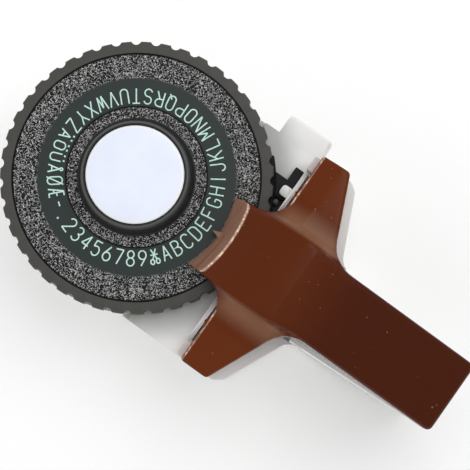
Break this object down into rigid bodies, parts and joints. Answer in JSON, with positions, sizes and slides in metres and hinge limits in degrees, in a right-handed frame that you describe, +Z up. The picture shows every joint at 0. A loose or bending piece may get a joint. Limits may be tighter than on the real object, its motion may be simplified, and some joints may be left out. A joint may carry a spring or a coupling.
{
  "type": "embossing label maker",
  "caption": "Hand-held embossing label maker with a turning character dial, a squeeze lever, a tape magazine and a push-button cutter.",
  "frame": {"origin": "centre of the bottom of the part's bounding box", "axes": "+X from the dial to the grip's end, +Y to the side where the tape comes out, +Z up, away from the table"},
  "size_m": [0.159, 0.086, 0.0605],
  "materials": {
    "pale_plastic": "satin",
    "brown_plastic": "gloss",
    "black_plastic": "satin",
    "hub_disc_plastic": "satin",
    "tape_film": "gloss",
    "white_plastic": "satin",
    "steel": "satin",
    "rubber": "matte"
  },
  "bodies": {
    "root": {"base_housing": "pale_plastic", "deck_plate": "pale_plastic", "tape_exit_chute": "pale_plastic", "tape_guide_block": "black_plastic", "anvil_bracket": "steel", "anvil_screw_1": "steel", "anvil_screw_2": "steel", "lever_pin": "steel", "spool_pin": "steel", "guide_pin": "steel", "door_pin": "steel", "tape_strip": "tape_film", "dial_post": "steel", "hub_washer": "steel", "hub_screw": "steel", "housing_screw_1": "steel", "housing_screw_2": "steel", "housing_screw_3": "steel"},
    "lever": {"lever_cover": "brown_plastic", "hammer_arm": "steel", "hammer_head": "steel", "arm_screw_1": "steel", "arm_screw_2": "steel", "return_spring": "steel"},
    "dial_head": {"dial": "black_plastic", "lower_die_disc": "black_plastic", "hub_disc": "hub_disc_plastic"},
    "roll": {"tape_roll": "tape_film", "tape_spool": "white_plastic"},
    "feed": {"feed_roller": "rubber", "feed_shaft": "steel", "ratchet_wheel": "steel"},
    "pawl": {"feed_pawl": "steel"},
    "cutter": {"cutter_blade": "steel", "cutter_button": "black_plastic"},
    "detent": {"detent_plunger": "steel"},
    "door": {"magazine_door": "pale_plastic"}
  },
  "joints": [
    {"name": "lever_squeeze", "type": "hinge", "parent": "root", "child": "lever", "pos_m": [0.012, -0.001, 0.0405], "axis": [0, 1, 0], "range_deg": [0, 14], "stiffness_Nm_per_rad": 2.5, "springref_deg": -5.73, "deforming": ["return_spring"]},
    {"name": "dial_turn", "type": "hinge", "parent": "root", "child": "dial_head", "pos_m": [-0.0375, -0.001, 0.04], "axis": [0, 0, 1], "continuous": true},
    {"name": "roll_spin", "type": "hinge", "parent": "root", "child": "roll", "pos_m": [-0.0015, -0.02105, 0.0172], "axis": [1, 0, 0], "continuous": true},
    {"name": "feed_turn", "type": "hinge", "parent": "root", "child": "feed", "pos_m": [-0.0015, 0.027, 0.0301], "axis": [1, 0, 0], "continuous": true},
    {"name": "feed_pawl_lift", "type": "slide", "parent": "root", "child": "pawl", "axis": [0, 0, 1], "range_m": [0, 0.0025]},
    {"name": "cutter_press", "type": "slide", "parent": "root", "child": "cutter", "axis": [0, 0, 1], "range_m": [0, 0.0022], "stiffness_N_per_m": 300, "springref_m": -0.002},
    {"name": "detent_give", "type": "slide", "parent": "root", "child": "detent", "axis": [0.9054, 0.4245, 0], "range_m": [0, 0.0011], "stiffness_N_per_m": 500, "springref_m": -0.0005},
    {"name": "door_open", "type": "hinge", "parent": "root", "child": "door", "pos_m": [-0.0009, -0.0339, 0.002], "axis": [-1, 0, 0], "range_deg": [0, 95]}
  ],
  "couplings": [
    {"joint": "feed_turn", "follows": "roll_spin", "ratio": 3.575},
    {"joint": "feed_pawl_lift", "follows": "lever_squeeze", "m_per_rad": 0.0098}
  ]
}
